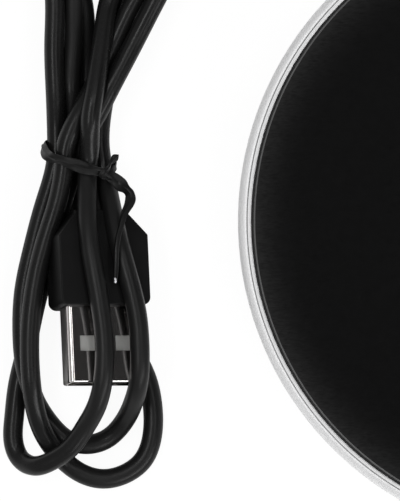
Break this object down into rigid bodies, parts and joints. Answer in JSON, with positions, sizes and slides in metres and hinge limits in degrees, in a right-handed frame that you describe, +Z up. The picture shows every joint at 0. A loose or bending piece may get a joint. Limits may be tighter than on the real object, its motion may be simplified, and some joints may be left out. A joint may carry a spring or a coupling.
{
  "type": "electric mug warmer",
  "caption": "Round electric mug warmer: black glass heating plate in a satin aluminium ring, with a push-button and a folded USB lead held by a twist tie.",
  "frame": {"origin": "middle of the disc on the surface that its rubber feet stand on", "axes": "+Z up out of the heating plate; -Y towards the power button; +Y towards the strain relief where the lead leaves; -X towards the folded lead"},
  "size_m": [0.1366, 0.1308, 0.0141],
  "materials": {
    "ring_aluminium": "satin, bead-blasted and clear anodised, bright turned inner land",
    "black_glass": "black glass-ceramic, finely rubbed, opaque",
    "silicone_black": "matt silicone rubber",
    "spreader_aluminium": "rolled sheet",
    "film_amber": "amber polyimide film",
    "copper_track": "etched copper alloy",
    "pad_fibre": "pressed fibre",
    "shield_sheet": "tin-plated pressed sheet",
    "screw_steel": "zinc-plated screw",
    "frame_plastic": "moulded heat-resistant plastic, fine spark texture",
    "base_plastic": "moulded plastic, fine spark texture",
    "button_plastic": "moulded plastic, satin",
    "switch_metal": "pressed switch cover",
    "board_green": "solder-resist coated laminate",
    "chip_black": "moulded chip bodies and sockets",
    "led_white": "clear-topped diode",
    "pipe_clear": "clear acrylic rod",
    "bead_black": "epoxy-dipped bead",
    "fuse_body": "metal case with tinned legs",
    "wire_red": "silicone-sleeved wire",
    "wire_power": "cores, one red and one black",
    "wire_yellow": "thin insulated pair",
    "jacket_black": "satin PVC jacket",
    "relief_black": "matt moulded PVC",
    "clamp_plastic": "moulded plastic",
    "tie_black": "plastic-coated wire tie",
    "grip_black": "matt moulded PVC grip",
    "shell_steel": "nickel-plated folded sheet",
    "tongue_white": "moulded insulator",
    "contact_gold": "gold-flashed strips"
  },
  "bodies": {
    "housing": {"trim_ring": "ring_aluminium", "heating_plate": "black_glass", "plate_gasket": "silicone_black", "heat_spreader": "spreader_aluminium", "heating_film": "film_amber", "heater_track": "copper_track", "insulation_pad": "pad_fibre", "heat_shield": "shield_sheet", "shield_screws": "screw_steel", "inner_frame": "frame_plastic", "base_cover": "base_plastic", "base_screws": "screw_steel", "rubber_feet": "silicone_black", "switch_body": "switch_metal", "control_board": "board_green", "board_parts": "chip_black", "board_screws": "screw_steel", "status_led": "led_white", "light_pipe": "pipe_clear", "thermistor": "bead_black", "thermal_fuse": "fuse_body", "heater_wires": "wire_red", "power_wires": "wire_power", "sensor_wires": "wire_yellow", "cord_entry": "jacket_black", "cord_clamp": "clamp_plastic", "clamp_screws": "screw_steel", "strain_relief": "relief_black", "cord_lead": "jacket_black", "cord_hank": "jacket_black", "twist_tie": "tie_black", "plug_grip": "grip_black", "plug_shell": "shell_steel", "plug_tongue": "tongue_white", "plug_contacts": "contact_gold"},
    "power_button": {"button_cap": "button_plastic", "switch_plunger": "button_plastic"}
  },
  "joints": [
    {"name": "button_press", "type": "slide", "parent": "housing", "child": "power_button", "axis": [0, 1, 0], "range_m": [0, 0.0005], "stiffness_N_per_m": 3000, "springref_m": -0.0003}
  ]
}
